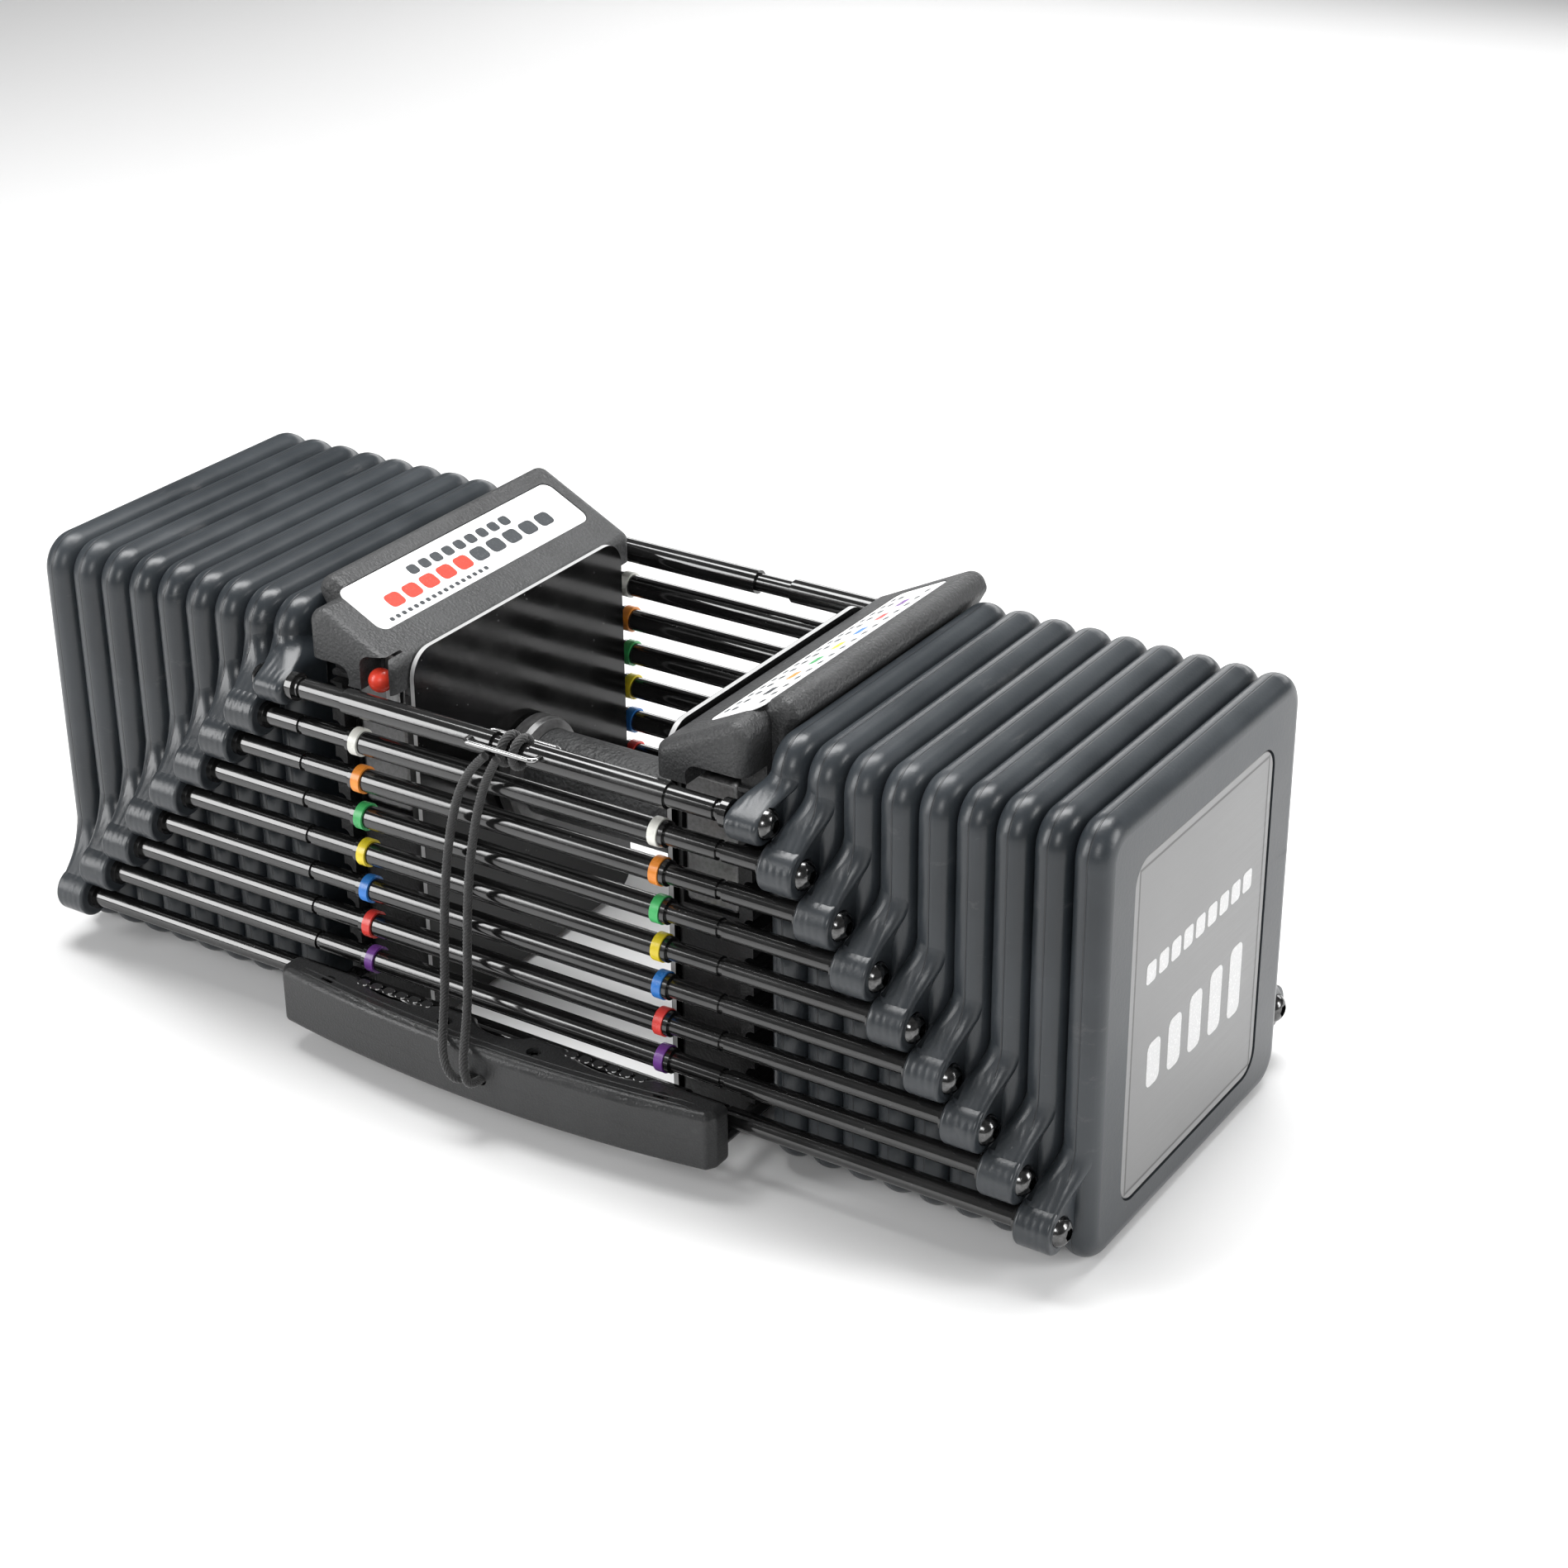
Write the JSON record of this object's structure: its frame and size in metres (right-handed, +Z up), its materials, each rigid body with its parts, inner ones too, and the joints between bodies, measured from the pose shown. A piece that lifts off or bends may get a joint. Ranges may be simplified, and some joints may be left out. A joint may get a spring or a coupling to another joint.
{
  "type": "adjustable dumbbell",
  "caption": "Adjustable dumbbell of nested weight plates tied by side rails, a lift-out core handle and a U-shaped selector pin on an elastic cord.",
  "frame": {"origin": "on the floor under the middle of the footprint, 9 mm in front of the grip's centre line", "axes": "+X along the grip, -Y towards the selector pin's handle, +Z up"},
  "size_m": [0.4344, 0.2016, 0.1647],
  "materials": {
    "plate_urethane": "matte dark grey moulded urethane over a heavy iron slab",
    "rail_steel": "gloss black enamel on steel bar",
    "screw_steel": "bright black-chromed steel",
    "badge_plate": "brushed light grey plate",
    "panel_steel": "gloss black sheet steel with a bright edge",
    "housing_plastic": "black moulded plastic",
    "cover_plastic": "textured mid grey moulded plastic",
    "tube_steel": "grey steel tube with rolled flanges",
    "grip_rubber": "pebbled grip rubber",
    "adder_steel": "grey steel bar",
    "lock_red": "bright red ball knob",
    "lock_steel": "plain steel strip",
    "pin_steel": "black steel rod",
    "pin_plastic": "dark grey moulded handle",
    "cord_fabric": "dark braided elastic cord",
    "clip_wire": "bright wire clip",
    "band_2": "coloured band ring",
    "band_3": "coloured band ring",
    "band_4": "coloured band ring",
    "band_5": "coloured band ring",
    "band_6": "coloured band ring",
    "band_7": "coloured band ring",
    "band_8": "coloured band ring"
  },
  "bodies": {
    "weight_set_1": {"plate_left_1": "plate_urethane", "plate_right_1": "plate_urethane", "rails_1": "rail_steel", "screws_1": "screw_steel", "cord_wrap": "cord_fabric", "cord_clip": "clip_wire"},
    "weight_set_2": {"plate_left_2": "plate_urethane", "plate_right_2": "plate_urethane", "rails_2": "rail_steel", "screws_2": "screw_steel", "bands_2": "band_2"},
    "weight_set_3": {"plate_left_3": "plate_urethane", "plate_right_3": "plate_urethane", "rails_3": "rail_steel", "screws_3": "screw_steel", "bands_3": "band_3"},
    "weight_set_4": {"plate_left_4": "plate_urethane", "plate_right_4": "plate_urethane", "rails_4": "rail_steel", "screws_4": "screw_steel", "bands_4": "band_4"},
    "weight_set_5": {"plate_left_5": "plate_urethane", "plate_right_5": "plate_urethane", "rails_5": "rail_steel", "screws_5": "screw_steel", "bands_5": "band_5"},
    "weight_set_6": {"plate_left_6": "plate_urethane", "plate_right_6": "plate_urethane", "rails_6": "rail_steel", "screws_6": "screw_steel", "bands_6": "band_6"},
    "weight_set_7": {"plate_left_7": "plate_urethane", "plate_right_7": "plate_urethane", "rails_7": "rail_steel", "screws_7": "screw_steel", "bands_7": "band_7"},
    "weight_set_8": {"plate_left_8": "plate_urethane", "plate_right_8": "plate_urethane", "rails_8": "rail_steel", "screws_8": "screw_steel", "bands_8": "band_8"},
    "weight_set_9": {"plate_left_9": "plate_urethane", "plate_right_9": "plate_urethane", "rails_9": "rail_steel", "screws_9": "screw_steel", "end_badges": "badge_plate"},
    "core_handle": {"side_panels": "panel_steel", "housings": "housing_plastic", "racks": "housing_plastic", "cover_left": "cover_plastic", "cover_right": "cover_plastic", "grip_tube": "tube_steel", "grip_sleeve": "grip_rubber", "adder_weights": "adder_steel"},
    "bar_weight_lock": {"lock_blade": "lock_steel", "lock_knob": "lock_red"},
    "selector_pin": {"pin_prongs": "pin_steel", "pin_shell_lower": "pin_plastic", "pin_shell_upper": "pin_plastic", "cord_strands": "cord_fabric"}
  },
  "joints": [
    {"name": "set_8_lift", "type": "slide", "parent": "weight_set_9", "child": "weight_set_8", "axis": [0, 0, 1], "range_m": [0, 0.18]},
    {"name": "set_7_lift", "type": "slide", "parent": "weight_set_8", "child": "weight_set_7", "axis": [0, 0, 1], "range_m": [0, 0.18]},
    {"name": "set_6_lift", "type": "slide", "parent": "weight_set_7", "child": "weight_set_6", "axis": [0, 0, 1], "range_m": [0, 0.18]},
    {"name": "set_5_lift", "type": "slide", "parent": "weight_set_6", "child": "weight_set_5", "axis": [0, 0, 1], "range_m": [0, 0.18]},
    {"name": "set_4_lift", "type": "slide", "parent": "weight_set_5", "child": "weight_set_4", "axis": [0, 0, 1], "range_m": [0, 0.18]},
    {"name": "set_3_lift", "type": "slide", "parent": "weight_set_4", "child": "weight_set_3", "axis": [0, 0, 1], "range_m": [0, 0.18]},
    {"name": "set_2_lift", "type": "slide", "parent": "weight_set_3", "child": "weight_set_2", "axis": [0, 0, 1], "range_m": [0, 0.18]},
    {"name": "set_1_lift", "type": "slide", "parent": "weight_set_2", "child": "weight_set_1", "axis": [0, 0, 1], "range_m": [0, 0.18]},
    {"name": "handle_lift", "type": "slide", "parent": "weight_set_1", "child": "core_handle", "axis": [0, 0, 1], "range_m": [0, 0.18]},
    {"name": "pin_pull", "type": "slide", "parent": "weight_set_9", "child": "selector_pin", "axis": [0, -1, 0], "range_m": [0, 0.18]},
    {"name": "lock_slide", "type": "slide", "parent": "core_handle", "child": "bar_weight_lock", "axis": [0, 0, -1], "range_m": [0, 0.006]}
  ]
}
